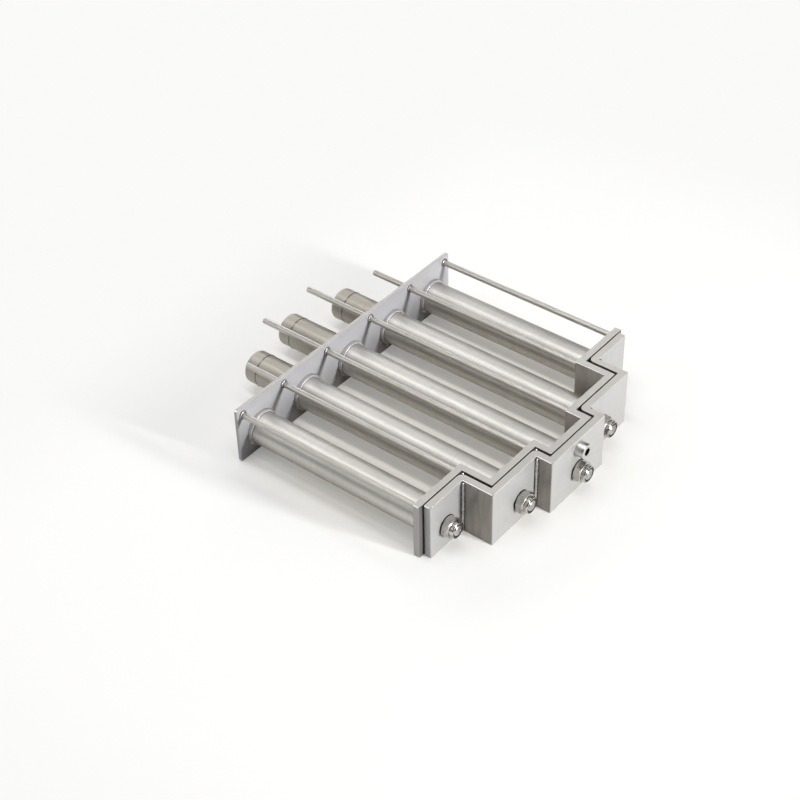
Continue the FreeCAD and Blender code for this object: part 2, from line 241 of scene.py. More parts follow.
def apply_modifier(piece, kind, **values):
    take(piece)
    modifier = piece.modifiers.new(kind.title(), kind)
    for key, value in values.items():
        setattr(modifier, key, value)
    bpy.ops.object.modifier_apply(modifier=modifier.name)


def copy_moved(piece, name, offset, turn=0.0):
    """A copy with its own mesh, turned about Z and then moved."""
    take(piece)
    bpy.ops.object.duplicate()
    twin = bpy.context.active_object
    twin.name = name
    twin.data.name = name
    twin.rotation_euler = (0.0, 0.0, turn)
    twin.location = offset
    bpy.ops.object.transform_apply(location=True, rotation=True, scale=True)
    return twin


def join(pieces, name):
    deselect_all()
    for piece in pieces:
        piece.select_set(True)
    bpy.context.view_layer.objects.active = pieces[0]
    bpy.ops.object.join()
    whole = bpy.context.active_object
    whole.name = name
    whole.data.name = name
    return whole


def remove(piece):
    bpy.data.objects.remove(piece, do_unlink=True)


def closed_and_smooth(piece, angle_degrees):
    take(piece)
    bpy.ops.object.mode_set(mode="EDIT")
    bpy.ops.mesh.select_all(action="SELECT")
    bpy.ops.mesh.remove_doubles(threshold=0.002 * MM)
    bpy.ops.mesh.normals_make_consistent(inside=False)
    bpy.ops.object.mode_set(mode="OBJECT")
    bpy.ops.object.shade_smooth_by_angle(angle=math.radians(angle_degrees))


def select_faces(piece, test):
    """In edit mode, selects the faces whose centre and normal pass the test."""
    bpy.ops.mesh.select_mode(type="FACE")
    bpy.ops.mesh.select_all(action="DESELECT")
    bpy.ops.object.mode_set(mode="OBJECT")
    for face in piece.data.polygons:
        face.select = test(face)
    bpy.ops.object.mode_set(mode="EDIT")


# Shader node groups

# Share of a face's normal along an axis from which it counts as leaning, slanting and so on
LEANING = 0.3
SLANTING = 0.32
TURNED = 0.5
SIDEWAYS = 0.75
LEVEL = 0.9

# Distance from the middle plane to just past the outermost step strips
STEP_REACH = 74.0 * MM

# Distance on either side of the rear plate's back in which the painted shade on the bars fades in
BEHIND_PLATE_SHADE_FADE = 6.0 * MM


def wire(tree, source, target):
    """Feeds the target socket from another socket, or sets it to a number or a colour."""
    if isinstance(source, bpy.types.NodeSocket):
        tree.links.new(source, target)
    else:
        target.default_value = source


def wire_all(tree, node, inputs):
    """Wires inputs by name, with the spaces of a name written as underscores."""
    for name, source in inputs.items():
        wire(tree, source, node.inputs[name.replace("_", " ")])


def add_node(tree, kind, **inputs):
    node = tree.nodes.new(kind)
    wire_all(tree, node, inputs)
    return node


def math_node(tree, operation, *values, clamp=False):
    """A math node fed by sockets or numbers; returns its output."""
    node = tree.nodes.new("ShaderNodeMath")
    node.operation = operation
    node.use_clamp = clamp
    for value, socket in zip(values, node.inputs):
        wire(tree, value, socket)
    return node.outputs["Value"]


def mixed(tree, mask, first, second, blend="MIX"):
    """Colour that goes from the first to the second with the mask."""
    mix = tree.nodes.new("ShaderNodeMix")
    mix.data_type = "RGBA"
    mix.blend_type = blend
    for value, socket in zip((mask, first, second), (mix.inputs[0], mix.inputs[6], mix.inputs[7])):
        wire(tree, value, socket)
    return mix.outputs[2]


def soft_step(tree, value, start, end):
    """Mask that rises smoothly from 0 at start to 1 at end."""
    step = add_node(tree, "ShaderNodeMapRange", Value=value, From_Min=start, From_Max=end)
    step.interpolation_type = "SMOOTHSTEP"
    return step.outputs["Result"]


def new_group(name, inputs, outputs):
    group = bpy.data.node_groups.new(name, "ShaderNodeTree")
    for label, kind, default in inputs:
        socket = group.interface.new_socket(name=label, in_out="INPUT", socket_type=kind)
        if default is not None:
            socket.default_value = default
    for label, kind in outputs:
        group.interface.new_socket(name=label, in_out="OUTPUT", socket_type=kind)
    return group, group.nodes.new("NodeGroupInput"), group.nodes.new("NodeGroupOutput")


def build_patches_group():
    """Soft patches, for stains, rolling marks and uneven polish."""
    group, entry, leave = new_group(
        "metal patches",
        [("Vector", "NodeSocketVector", None), ("Scale", "NodeSocketFloat", 40.0),
         ("Low", "NodeSocketFloat", 0.4), ("High", "NodeSocketFloat", 0.65)],
        [("Mask", "NodeSocketFloat")],
    )
    noise = add_node(group, "ShaderNodeTexNoise", Vector=entry.outputs["Vector"],
                     Scale=entry.outputs["Scale"], Detail=4.0, Roughness=0.55, Distortion=0.6)
    mask = soft_step(group, noise.outputs["Fac"], entry.outputs["Low"], entry.outputs["High"])
    wire(group, mask, leave.inputs["Mask"])
    return group


def build_brushing_group():
    """Fine parallel scratches; the Vector is already stretched along them."""
    group, entry, leave = new_group(
        "brushed lines",
        [("Vector", "NodeSocketVector", None), ("Low", "NodeSocketFloat", 0.25),
         ("High", "NodeSocketFloat", 0.75)],
        [("Mask", "NodeSocketFloat")],
    )
    noise = add_node(group, "ShaderNodeTexNoise", Vector=entry.outputs["Vector"],
                     Scale=1.0, Detail=3.0, Roughness=0.7)
    spread = add_node(group, "ShaderNodeMapRange", Value=noise.outputs["Fac"],
                      From_Min=entry.outputs["Low"], From_Max=entry.outputs["High"])
    wire(group, spread.outputs["Result"], leave.inputs["Mask"])
    return group


def build_tone_group():
    """Mixes a steel colour towards a darker tone where the masks say."""
    group, entry, leave = new_group(
        "steel tone",
        [("Colour", "NodeSocketColor", (0.6, 0.6, 0.6, 1.0)),
         ("Tone", "NodeSocketColor", (0.4, 0.4, 0.4, 1.0)),
         ("Lines", "NodeSocketFloat", 0.5), ("Line Amount", "NodeSocketFloat", 0.15),
         ("Patches", "NodeSocketFloat", 0.0), ("Patch Amount", "NodeSocketFloat", 0.3)],
        [("Colour", "NodeSocketColor")],
    )
    lines = math_node(group, "MULTIPLY", entry.outputs["Lines"], entry.outputs["Line Amount"])
    patches = math_node(group, "MULTIPLY", entry.outputs["Patches"], entry.outputs["Patch Amount"])
    total = math_node(group, "ADD", lines, patches, clamp=True)
    colour = mixed(group, total, entry.outputs["Colour"], entry.outputs["Tone"])
    wire(group, colour, leave.inputs["Colour"])
    return group


def build_relief_group():
    """Turns a mask into a shallow relief."""
    group, entry, leave = new_group(
        "fine relief",
        [("Height", "NodeSocketFloat", 0.5), ("Strength", "NodeSocketFloat", 0.3),
         ("Distance", "NodeSocketFloat", 0.02 * MM)],
        [("Normal", "NodeSocketVector")],
    )
    bump = add_node(group, "ShaderNodeBump", Height=entry.outputs["Height"],
                    Strength=entry.outputs["Strength"], Distance=entry.outputs["Distance"])
    wire(group, bump.outputs["Normal"], leave.inputs["Normal"])
    return group


def build_gloss_group():
    """Spreads the roughness round its middle value with a mask."""
    group, entry, leave = new_group(
        "uneven gloss",
        [("Roughness", "NodeSocketFloat", 0.4), ("Spread", "NodeSocketFloat", 0.05),
         ("Mask", "NodeSocketFloat", 0.5)],
        [("Roughness", "NodeSocketFloat")],
    )
    centred = math_node(group, "SUBTRACT", entry.outputs["Mask"], 0.5)
    scaled = math_node(
        group, "MULTIPLY_ADD", centred, entry.outputs["Spread"], entry.outputs["Roughness"],
    )
    wire(group, scaled, leave.inputs["Roughness"])
    return group


def build_facing_group():
    """Masks for the rims, the broken edges, the sides and the ends of upright flat bars."""
    names = (
        "Rim", "Bevel", "Side", "Ahead", "Outward", "Between", "Behind", "Slanting",
        "Leaning Out", "Leaning In",
    )
    group, _, leave = new_group("facing masks", [], [(name, "NodeSocketFloat") for name in names])
    geometry = group.nodes.new("ShaderNodeNewGeometry")
    way = add_node(group, "ShaderNodeSeparateXYZ", Vector=geometry.outputs["True Normal"])
    coordinates = group.nodes.new("ShaderNodeTexCoord")
    place = add_node(group, "ShaderNodeSeparateXYZ", Vector=coordinates.outputs["Object"])
    upward = math_node(group, "ABSOLUTE", way.outputs["Z"])
    across = math_node(group, "ABSOLUTE", way.outputs["Y"])
    forward = math_node(group, "ABSOLUTE", way.outputs["X"])
    above = math_node(group, "GREATER_THAN", way.outputs["Z"], TURNED)
    level = math_node(group, "GREATER_THAN", way.outputs["Z"], LEVEL)
    turned_out = math_node(group, "MULTIPLY", way.outputs["Y"], place.outputs["Y"])
    distance = math_node(group, "ABSOLUTE", place.outputs["Y"])
    between = math_node(group, "LESS_THAN", distance, STEP_REACH)
    side = math_node(group, "SIGN", place.outputs["Y"])
    sideways = math_node(group, "MULTIPLY", way.outputs["Y"], side)
    sideways = math_node(group, "MULTIPLY", sideways, between)
    furthest_out = math_node(group, "MAXIMUM", way.outputs["X"], sideways)
    furthest_in = math_node(group, "MINIMUM", way.outputs["X"], sideways)
    lesser = math_node(group, "MINIMUM", forward, math_node(group, "MAXIMUM", across, upward))
    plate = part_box("rear_plate")[0].x
    masks = {
        "Rim": math_node(group, "GREATER_THAN", upward, TURNED),
        "Bevel": math_node(group, "SUBTRACT", above, level),
        "Side": math_node(group, "GREATER_THAN", across, SIDEWAYS),
        "Ahead": math_node(group, "GREATER_THAN", way.outputs["X"], TURNED),
        "Outward": math_node(group, "GREATER_THAN", turned_out, 0.0),
        "Between": between,
        "Behind": soft_step(group, place.outputs["X"], plate + BEHIND_PLATE_SHADE_FADE, plate - BEHIND_PLATE_SHADE_FADE),
        "Slanting": math_node(group, "GREATER_THAN", lesser, SLANTING),
        "Leaning Out": math_node(group, "GREATER_THAN", furthest_out, LEANING),
        "Leaning In": math_node(group, "LESS_THAN", furthest_in, -LEANING),
    }
    for name, mask in masks.items():
        wire(group, mask, leave.inputs[name])
    return group


GROUP_BUILDERS = {
    "facing masks": build_facing_group,
    "metal patches": build_patches_group,
    "brushed lines": build_brushing_group,
    "steel tone": build_tone_group,
    "fine relief": build_relief_group,
    "uneven gloss": build_gloss_group,
}


def placed_group(tree, name, **inputs):
    """Places the named group in a material, built the first time it is asked for."""
    group = bpy.data.node_groups.get(name) or GROUP_BUILDERS[name]()
    node = tree.nodes.new("ShaderNodeGroup")
    node.node_tree = group
    node.label = name
    wire_all(tree, node, inputs)
    return node


# Materials

# Scales of a pattern, even or stretched along Z
EVEN = (1.0, 1.0, 1.0)
UPWARDS_STAINS = (1.0, 1.0, 0.2)
UPWARDS_LINES = (1500.0, 1500.0, 60.0)

# Colours mixed into the finishes
# Painted shade multiplied into the bars behind the rear plate
PAINTED_SHADE_BEHIND_PLATE = (0.70, 0.675, 0.63, 1.0)
# Partly heat oxide, partly painted shade at the toes of the weld beads
TOE_OXIDE_AND_SHADE = (0.09, 0.085, 0.08, 1.0)
# Painted highlight on the broken edges that face upwards
PAINTED_EDGE_HIGHLIGHT = (0.93, 0.93, 0.92, 1.0)
# Painted shade on the faces in the gap between frame and carrier
PAINTED_GAP_SHADE = (0.16, 0.152, 0.142, 1.0)
# Painted shade on the broken edges that lean into the gap
PAINTED_GAP_EDGE_SHADE = (0.05, 0.047, 0.043, 1.0)


def opaque(colour):
    return (colour[0], colour[1], colour[2], 1.0)


def darker(colour, share):
    return [share * part for part in colour]


def mapped_coordinates(tree, scale):
    coordinates = tree.nodes.new("ShaderNodeTexCoord")
    mapping = add_node(tree, "ShaderNodeMapping", Vector=coordinates.outputs["Object"], Scale=scale)
    return mapping.outputs["Vector"]


def steel_material(name, colour, tone, roughness, grain, metallic=1.0, line_amount=0.18,
                   patch_amount=0.25, patch_scale=45.0, relief=0.25, gloss_spread=0.08, anisotropic=0.0):
    """Steel with soft patches, and with scratches along the axis where the grain's scale is least."""
    material = bpy.data.materials.new(name)
    material.use_nodes = True
    tree = material.node_tree
    shader = tree.nodes["Principled BSDF"]
    lines = placed_group(tree, "brushed lines", Vector=mapped_coordinates(tree, grain))
    patches = placed_group(tree, "metal patches", Vector=mapped_coordinates(tree, EVEN),
                           Scale=patch_scale, Low=0.42, High=0.68)
    tones = placed_group(tree, "steel tone", Colour=opaque(colour), Tone=opaque(tone),
                         Lines=lines.outputs["Mask"], Line_Amount=line_amount,
                         Patches=patches.outputs["Mask"], Patch_Amount=patch_amount)
    gloss = placed_group(tree, "uneven gloss", Roughness=roughness, Spread=gloss_spread,
                         Mask=patches.outputs["Mask"])
    normal = placed_group(tree, "fine relief", Height=lines.outputs["Mask"], Strength=relief)
    wire(tree, tones.outputs["Colour"], shader.inputs["Base Color"])
    wire(tree, gloss.outputs["Roughness"], shader.inputs["Roughness"])
    wire(tree, normal.outputs["Normal"], shader.inputs["Normal"])
    shader.inputs["Metallic"].default_value = metallic
    shader.inputs["Anisotropic"].default_value = anisotropic
    return material


def feeding(shader, name):
    """The socket that feeds an input of the shader."""
    return shader.inputs[name].links[0].from_socket


def spread_along_x(tree):
    """Draws highlights out along the X axis, as scratches round a linished tube do."""
    along = add_node(tree, "ShaderNodeCombineXYZ", X=1.0, Y=0.0, Z=0.0)
    wire(tree, along.outputs["Vector"], tree.nodes["Principled BSDF"].inputs["Tangent"])


def paint_shade_behind_plate(tree):
    """Painted shade: duller and browner metal on the bars behind the rear plate."""
    shader = tree.nodes["Principled BSDF"]
    masks = placed_group(tree, "facing masks")
    plain = feeding(shader, "Base Color")
    colour = mixed(tree, masks.outputs["Behind"], plain, PAINTED_SHADE_BEHIND_PLATE, "MULTIPLY")
    wire(tree, colour, shader.inputs["Base Color"])


def paint_toe_oxide_and_shade(tree):
    """Dark at the toes where an upright bead meets its two walls, partly heat oxide and partly painted
    shade; the crown keeps the plain metal.
    """
    shader = tree.nodes["Principled BSDF"]
    masks = placed_group(tree, "facing masks")
    plain = feeding(shader, "Base Color")
    colour = mixed(tree, masks.outputs["Slanting"], TOE_OXIDE_AND_SHADE, plain)
    wire(tree, colour, shader.inputs["Base Color"])


def flat_bar_material(name, face, side, rim, gap_shade_mask, gap_edge_lean, roughness, metallic):
    """Welded flat bar: satin faces, stained sides, rolled rims, a painted highlight on the upward broken
    edges, and painted shade on the faces and edges in the gap.
    """
    material = steel_material(name, face, darker(face, 0.86), roughness,
                              grain=(1400.0, 60.0, 1400.0), metallic=metallic, line_amount=0.3,
                              patch_amount=0.45, patch_scale=30.0, relief=0.1)
    tree = material.node_tree
    shader = tree.nodes["Principled BSDF"]
    base = feeding(shader, "Base Color")
    masks = placed_group(tree, "facing masks")
    stains = placed_group(tree, "metal patches", Vector=mapped_coordinates(tree, UPWARDS_STAINS),
                          Scale=210.0, Low=0.40, High=0.62)
    rolled = placed_group(tree, "brushed lines", Vector=mapped_coordinates(tree, UPWARDS_LINES))
    side_tone = placed_group(tree, "steel tone", Colour=opaque(side), Tone=opaque(darker(side, 0.52)),
                             Lines=rolled.outputs["Mask"], Line_Amount=0.15,
                             Patches=stains.outputs["Mask"], Patch_Amount=0.36)
    rim_tone = placed_group(tree, "steel tone", Colour=opaque(rim), Tone=opaque(darker(rim, 0.84)),
                            Lines=rolled.outputs["Mask"], Line_Amount=0.5,
                            Patches=stains.outputs["Mask"], Patch_Amount=0.2)
    stained = math_node(tree, "MULTIPLY", masks.outputs["Side"], masks.outputs["Between"])
    colour = mixed(tree, stained, base, side_tone.outputs["Colour"])
    # Painted shade on the faces in the gap between frame and carrier
    if gap_shade_mask:
        colour = mixed(tree, gap_shade_mask(tree, masks), colour, PAINTED_GAP_SHADE)
    colour = mixed(tree, masks.outputs["Rim"], colour, rim_tone.outputs["Colour"])
    # Painted highlight along the upward-facing broken edges
    colour = mixed(tree, masks.outputs["Bevel"], colour, PAINTED_EDGE_HIGHLIGHT)
    # Painted shade on the broken edges that lean into the gap
    if gap_edge_lean:
        leaning_edge_shade = math_node(tree, "MULTIPLY", masks.outputs["Bevel"], masks.outputs[gap_edge_lean])
        colour = mixed(tree, leaning_edge_shade, colour, PAINTED_GAP_EDGE_SHADE)
    wire(tree, colour, shader.inputs["Base Color"])
    smoother_edge = math_node(tree, "MULTIPLY", masks.outputs["Bevel"], -0.14)
    gloss = math_node(tree, "ADD", feeding(shader, "Roughness"), smoother_edge)
    wire(tree, gloss, shader.inputs["Roughness"])
    rim_metallic = 0.85
    share = math_node(tree, "MULTIPLY", masks.outputs["Rim"], rim_metallic - metallic)
    wire(tree, math_node(tree, "ADD", share, metallic), shader.inputs["Metallic"])
    return material


def frame_gap_shade(tree, masks):
    """Faces of the frame that the carrier covers, which get painted shade: its front and the outsides of
    its steps.
    """
    step = math_node(tree, "MULTIPLY", masks.outputs["Outward"], masks.outputs["Between"])
    step = math_node(tree, "MULTIPLY", step, masks.outputs["Side"])
    return math_node(tree, "MAXIMUM", step, masks.outputs["Ahead"])


def carrier_gap_shade(tree, masks):
    """Insides of the carrier's steps, which get painted shade."""
    inward = math_node(tree, "SUBTRACT", masks.outputs["Side"], masks.outputs["Outward"], clamp=True)
    return math_node(tree, "MULTIPLY", inward, masks.outputs["Between"])


def coat(piece, *materials):
    """Gives the piece these materials in place of those it has."""
    piece.data.materials.clear()
    for material in materials:
        piece.data.materials.append(material)


def dress(nodes, material):
    for name in nodes:
        coat(NODES[name], material)


def plain_patchy_material(name, colour, tone, roughness, metallic, patch_scale):
    """A simple finish with soft patches only, for nylon, the near-black washers and plated magnets."""
    material = bpy.data.materials.new(name)
    material.use_nodes = True
    tree = material.node_tree
    shader = tree.nodes["Principled BSDF"]
    patches = placed_group(tree, "metal patches", Vector=mapped_coordinates(tree, EVEN),
                           Scale=patch_scale, Low=0.4, High=0.7)
    tones = placed_group(tree, "steel tone", Colour=opaque(colour), Tone=opaque(tone),
                         Lines=0.0, Patches=patches.outputs["Mask"], Patch_Amount=0.4)
    gloss = placed_group(tree, "uneven gloss", Roughness=roughness, Spread=0.1,
                         Mask=patches.outputs["Mask"])
    wire(tree, tones.outputs["Colour"], shader.inputs["Base Color"])
    wire(tree, gloss.outputs["Roughness"], shader.inputs["Roughness"])
    shader.inputs["Metallic"].default_value = metallic
    return material


# Operators

class FinishPlates(bpy.types.Operator):
    """Gives the rear plate, the frame and the carrier their rolled and satin finishes"""

    bl_idname = "hopper_magnet.finish_plates"
    bl_label = "Finish plates"

    def execute(self, context):
        finish = context.scene.hopper_plates
        rear = flat_bar_material("rear_plate_blasted_sheet", finish.rear_colour, finish.rear_colour,
                                 finish.rear_rim_colour, None, None, finish.roughness + 0.05, 0.25)
        frame = flat_bar_material("frame_flat_bar", finish.frame_colour, finish.inner_step_colour,
                                  finish.rim_colour, frame_gap_shade, "Leaning Out", finish.roughness, 0.6)
        carrier = flat_bar_material("carrier_satin_bar", finish.carrier_colour, finish.step_colour,
                                    finish.rim_colour, carrier_gap_shade, "Leaning In", finish.roughness, 0.5)
        collar = steel_material(
            "collar_turned_steel", (0.56, 0.55, 0.56), (0.45, 0.44, 0.43), 0.38,
            grain=(2500.0, 120.0, 120.0), metallic=0.5, line_amount=0.25, patch_amount=0.15, relief=0.15,
        )
        dress(["rear_plate"], rear)
        for side, metal in (("frame", frame), ("carrier", carrier)):
            dress(["%s_face_strip_%d" % (side, k) for k in BARS], metal)
            dress(["%s_step_strip_%d" % (side, k) for k in STEPS], metal)
        dress(["guide_collar_%d" % k for k in BARS], collar)
        return {"FINISHED"}


class FinishBars(bpy.types.Operator):
    """Gives the magnet bars, their insides and the tie rods their brushed finishes"""

    bl_idname = "hopper_magnet.finish_bars"
    bl_label = "Finish bars and rods"

    def execute(self, context):
        finish = context.scene.hopper_bars
        tube = steel_material(
            "bar_linished_tube", finish.bar_colour, (0.47, 0.45, 0.42), finish.roughness,
            grain=(1100.0, 22.0, 22.0), metallic=0.95, line_amount=0.45, patch_amount=0.1,
            patch_scale=18.0, relief=0.012, gloss_spread=0.03, anisotropic=0.5,
        )
        # Painted shade on the bars behind the rear plate
        paint_shade_behind_plate(tube.node_tree)
        spread_along_x(tube.node_tree)
        rod = steel_material(
            "rod_drawn_steel", finish.rod_colour, (0.40, 0.38, 0.35), 0.36,
            grain=(40.0, 1200.0, 1200.0), metallic=0.95, line_amount=0.3, patch_amount=0.25, relief=0.03,
        )
        magnet = plain_patchy_material(
            "magnet_plating", finish.magnet_colour, (0.3, 0.3, 0.31), 0.35, 1.0, 120.0,
        )
        pole = steel_material(
            "pole_turned_steel", finish.pole_colour, (0.38, 0.37, 0.35), 0.4, grain=(2000.0, 80.0, 80.0),
        )
        # Painted reflection: the large dark patches on the stud tips stand in for dark surroundings
        # mirrored in them
        stud = steel_material(
            "stud_steel_painted_blots", (0.58, 0.56, 0.55), (0.16, 0.155, 0.15), 0.2,
            grain=(900.0, 900.0, 900.0), line_amount=0.2, patch_amount=0.75, patch_scale=330.0, relief=0.1,
        )
        dress(["bar_%d_%s" % (k, part) for k in BARS for part in ("sleeve", "tail_cap")], tube)
        dress(["bar_%d_head_plug" % k for k in BARS], stud)
        dress(["tie_rod_%d" % k for k in RODS], rod)
        dress(["bar_magnets"], magnet)
        dress(["bar_pole_pieces"], pole)
        return {"FINISHED"}


class FinishFasteners(bpy.types.Operator):
    """Gives the nuts their bright finish, the inserts dark nylon and the washers a near-black finish"""

    bl_idname = "hopper_magnet.finish_fasteners"
    bl_label = "Finish nuts, inserts and washers"

    def execute(self, context):
        finish = context.scene.hopper_fasteners
        nut = steel_material(
            "nut_bright_steel", finish.nut_colour, (0.26, 0.25, 0.225), finish.roughness,
            grain=(300.0, 1500.0, 1500.0), line_amount=0.4, patch_amount=0.5, patch_scale=260.0,
            relief=0.2, gloss_spread=0.12,
        )
        nylon = plain_patchy_material(
            "insert_dark_nylon", finish.insert_colour, (0.022, 0.021, 0.026), 0.5, 0.0, 500.0,
        )
        # Near-black washers under the nuts
        rubber = plain_patchy_material(
            "washer_near_black", finish.washer_near_black_colour, (0.022, 0.021, 0.02), 0.7, 0.0, 400.0,
        )
        dress(["sealing_washers"], rubber)
        dress(["nyloc_nuts"], nut)
        dress(["nylon_inserts"], nylon)
        return {"FINISHED"}


class LayWeldBeads(bpy.types.Operator):
    """Lays rippled beads in the outer corners and rings of weld round the tie rods"""

    bl_idname = "hopper_magnet.lay_weld_beads"
    bl_label = "Lay weld beads"

    def execute(self, context):
        welds = context.scene.hopper_welds
        metal = steel_material(
            "weld_dull_metal", welds.colour, (0.24, 0.23, 0.215), 0.40,
            grain=(700.0, 700.0, 700.0), line_amount=0.25, patch_amount=0.45, patch_scale=300.0, relief=0.2,
        )
        # Toes of the beads: partly heat oxide, partly painted shade
        paint_toe_oxide_and_shade(metal.node_tree)
        corner = self.corner_bead(welds)
        ring = self.rod_ring(welds)
        self.place(corner, ring, "frame", metal)
        self.place(corner, None, "carrier", metal)
        remove(corner)
        remove(ring)
        return {"FINISHED"}

    def corner_bead(self, welds):
        """One upright bead for a corner open towards +X and -Y, its foot at the origin."""
        low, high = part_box("carrier_step_strip_1")
        height = high.z - low.z
        clear_ends = 1.6 * MM
        count = int((height - clear_ends) / welds.ripple_pitch)
        start = (height - (count - 1) * welds.ripple_pitch) / 2
        inset = 0.17 * welds.ripple_radius
        flattened = (1.0, 1.0, 0.72)
        lean = math.radians(24.0)
        deselect_all()
        bpy.ops.mesh.primitive_uv_sphere_add(segments=24, ring_count=12, radius=welds.ripple_radius)
        bpy.ops.object.mode_set(mode="EDIT")
        bpy.ops.mesh.select_all(action="SELECT")
        bpy.ops.transform.resize(value=flattened)
        bpy.ops.transform.rotate(value=lean, orient_axis="X", center_override=(0.0, 0.0, 0.0))
        bpy.ops.transform.translate(value=(inset, -inset, start))
        bpy.ops.object.mode_set(mode="OBJECT")
        bead = named("corner_bead")
        apply_modifier(bead, "ARRAY", count=count, use_relative_offset=False, use_constant_offset=True,
                       constant_offset_displace=(0.0, 0.0, welds.ripple_pitch))
        ripple = bpy.data.textures.new("bead unevenness", "CLOUDS")
        ripple.noise_scale = 1.6 * MM
        apply_modifier(bead, "DISPLACE", texture=ripple, texture_coords="LOCAL",
                       strength=0.35 * MM, mid_level=0.5)
        apply_modifier(bead, "REMESH", mode="VOXEL", voxel_size=0.2 * MM, use_smooth_shade=True)
        return bead

    def rod_ring(self, welds):
        """One ring of weld round the X axis, standing on the plane X = 0 towards +X."""
        ripple_radius = 0.9 * MM
        widened = (1.0, 1.25, 0.9)
        lift = 0.2 * MM
        deselect_all()
        bpy.ops.mesh.primitive_uv_sphere_add(segments=16, ring_count=10, radius=ripple_radius)
        bpy.ops.object.mode_set(mode="EDIT")
        bpy.ops.mesh.select_all(action="SELECT")
        bpy.ops.transform.resize(value=widened)
        bpy.ops.transform.translate(value=(lift, 0.0, welds.ring_radius))
        bpy.ops.mesh.spin(dupli=True, steps=welds.ring_ripples, angle=2 * math.pi,
                          center=(0.0, 0.0, 0.0), axis=(1.0, 0.0, 0.0))
        bpy.ops.object.mode_set(mode="OBJECT")
        ring = named("rod_ring")
        closed_and_smooth(ring, 60.0)
        apply_modifier(ring, "REMESH", mode="VOXEL", voxel_size=0.19 * MM, use_smooth_shade=True)
        return ring

    def corners(self, side):
        """Place and turn of the four outer corners of one stepped assembly."""
        found = []
        for face, step, far in ((1, 1, False), (2, 2, False), (4, 3, True), (5, 4, True)):
            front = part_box("%s_face_strip_%d" % (side, face))[1].x
            low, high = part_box("%s_step_strip_%d" % (side, step))
            place = (front, high.y if far else low.y, low.z)
            found.append((place, math.radians(90.0) if far else 0.0))
        return found

    def place(self, corner, ring, side, metal):
        """Copies the beads, and the rings if there is one, into one piece of weld for the assembly."""
        beads = []
        for number, (place, turn) in enumerate(self.corners(side), 1):
            beads.append(copy_moved(corner, "%s_bead_%d" % (side, number), place, turn))
        if ring:
            plate_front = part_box("rear_plate")[1].x
            for k in RODS:
                low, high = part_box("tie_rod_%d" % k)
                axis_y = (low.y + high.y) / 2
                axis_z = (low.z + high.z) / 2
                beads.append(copy_moved(ring, "rod_ring_%d_rear" % k, (plate_front, axis_y, axis_z)))
                beads.append(copy_moved(ring, "rod_ring_%d_front" % k, (high.x, axis_y, axis_z), math.pi))
        whole = join(beads, "%s_rippled_welds" % side)
        coat(whole, metal)
        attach(whole, "frame" if side == "frame" else "magnet_pack")
        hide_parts("%s_weld_beads" % side)


class LayTailSeams(bpy.types.Operator):
    """Lays a thin seam where the rear cap meets the tube, on each bar whose cap shows behind the plate"""

    bl_idname = "hopper_magnet.lay_tail_seams"
    bl_label = "Lay tail seams"

    def execute(self, context):
        welds = context.scene.hopper_welds
        metal = steel_material(
            "seam_dull_metal", (0.26, 0.25, 0.225), (0.12, 0.115, 0.10), 0.25,
            grain=(900.0, 900.0, 900.0), line_amount=0.3, patch_amount=0.4, patch_scale=240.0, relief=0.1,
        )
        seam = self.seam(welds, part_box("bar_3_sleeve"))
        for k in BARS:
            low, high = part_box("bar_%d_sleeve" % k)
            if low.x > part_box("rear_plate")[0].x:
                continue
            place = (low.x, (low.y + high.y) / 2, (low.z + high.z) / 2)
            ring = copy_moved(seam, "bar_%d_tail_seam" % k, place)
            coat(ring, metal)
            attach(ring, "magnet_pack")
        remove(seam)
        return {"FINISHED"}

    def seam(self, welds, tube):
        """A flattened ring round the X axis, standing a little proud of the tube."""
        radius = (tube[1].y - tube[0].y) / 2
        deselect_all()
        bpy.ops.mesh.primitive_circle_add(
            vertices=10, radius=welds.seam_width / 2, fill_type="NOTHING",
            location=(0.0, 0.0, radius), rotation=(math.radians(90.0), 0.0, 0.0),
        )
        ring = named("tail_seam")
        bpy.ops.object.mode_set(mode="EDIT")
        bpy.ops.mesh.select_all(action="SELECT")
        bpy.ops.transform.resize(value=(1.0, 1.0, 0.5), center_override=(0.0, 0.0, radius))
        bpy.ops.mesh.spin(steps=96, angle=2 * math.pi, center=(0.0, 0.0, 0.0), axis=(1.0, 0.0, 0.0))
        bpy.ops.object.mode_set(mode="OBJECT")
        closed_and_smooth(ring, 60.0)
        return ring


